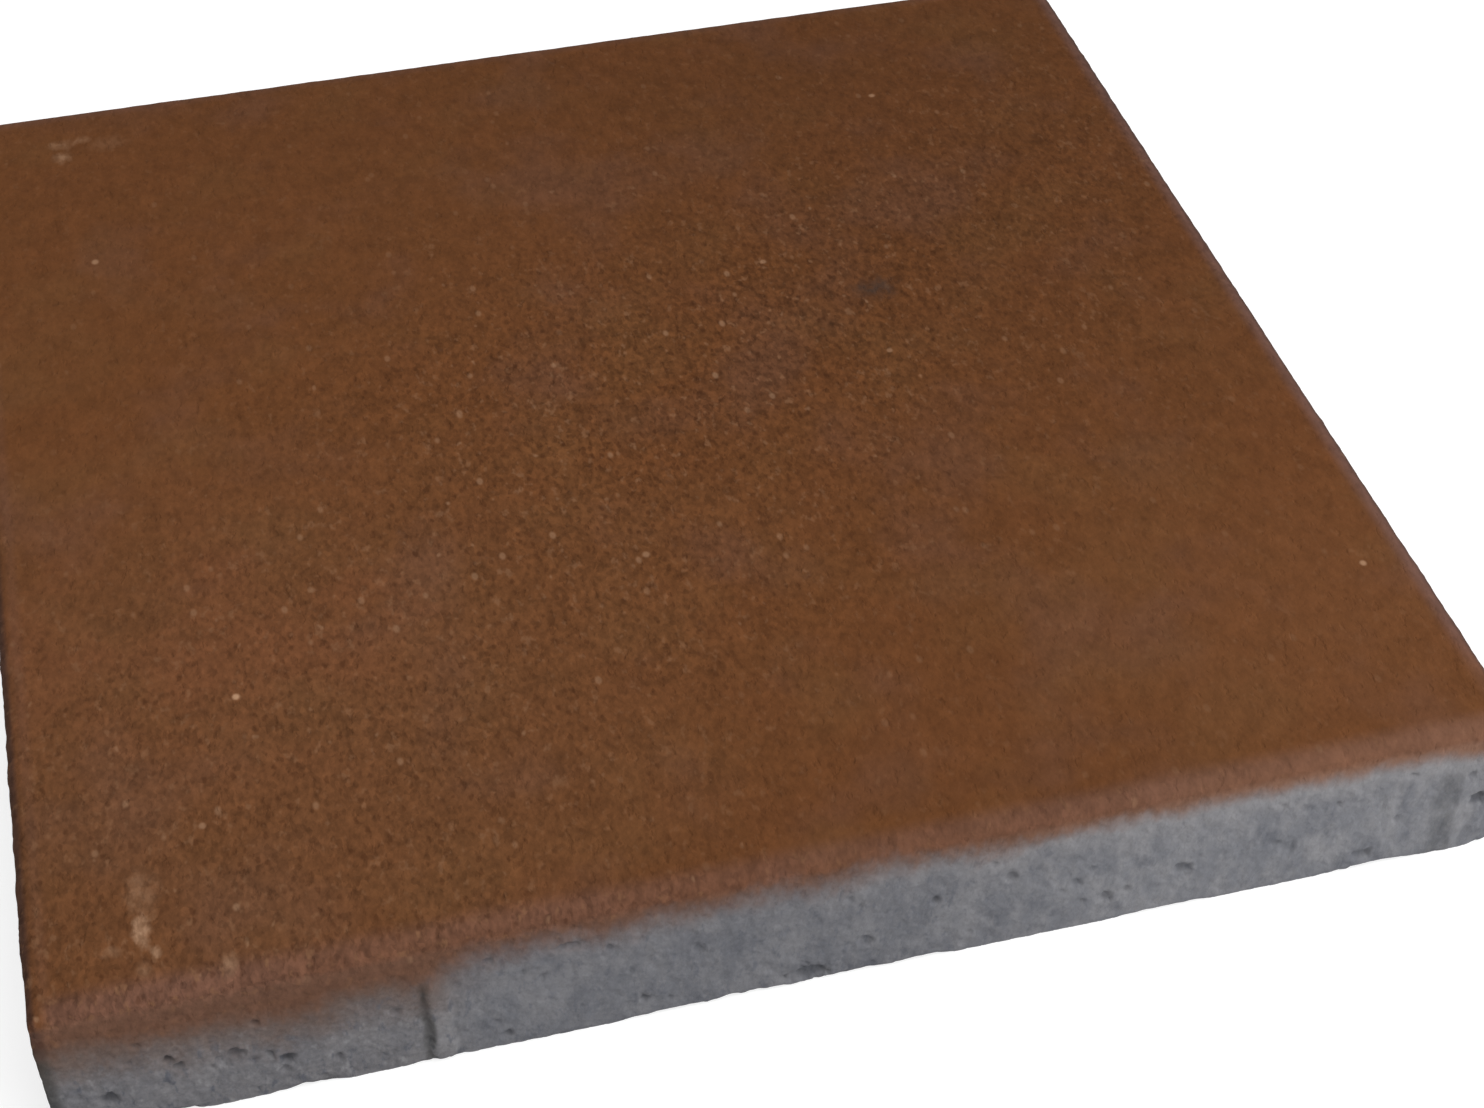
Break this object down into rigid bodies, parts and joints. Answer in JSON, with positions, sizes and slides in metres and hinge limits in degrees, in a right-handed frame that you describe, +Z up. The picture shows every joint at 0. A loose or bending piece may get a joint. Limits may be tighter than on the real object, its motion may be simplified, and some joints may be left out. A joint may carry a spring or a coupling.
{
  "type": "concrete paving slab",
  "caption": "Square concrete paving slab with a brown facing layer on a grey backing, a bevelled top edge and small spacer nibs on its sides.",
  "frame": {"origin": "centre of the underside, at the height it lies on", "axes": "+Z up out of the walking face, +X along the side seen in the picture, towards its right end, +Y away from that side"},
  "size_m": [0.403, 0.403, 0.05],
  "materials": {
    "brown_facing": "matte, sandy pressed concrete, brown through its depth",
    "grey_backing": "matte, coarse pressed concrete with pits, grey"
  },
  "bodies": {
    "root": {"facing_layer": "brown_facing", "backing_layer": "grey_backing"}
  },
  "joints": []
}
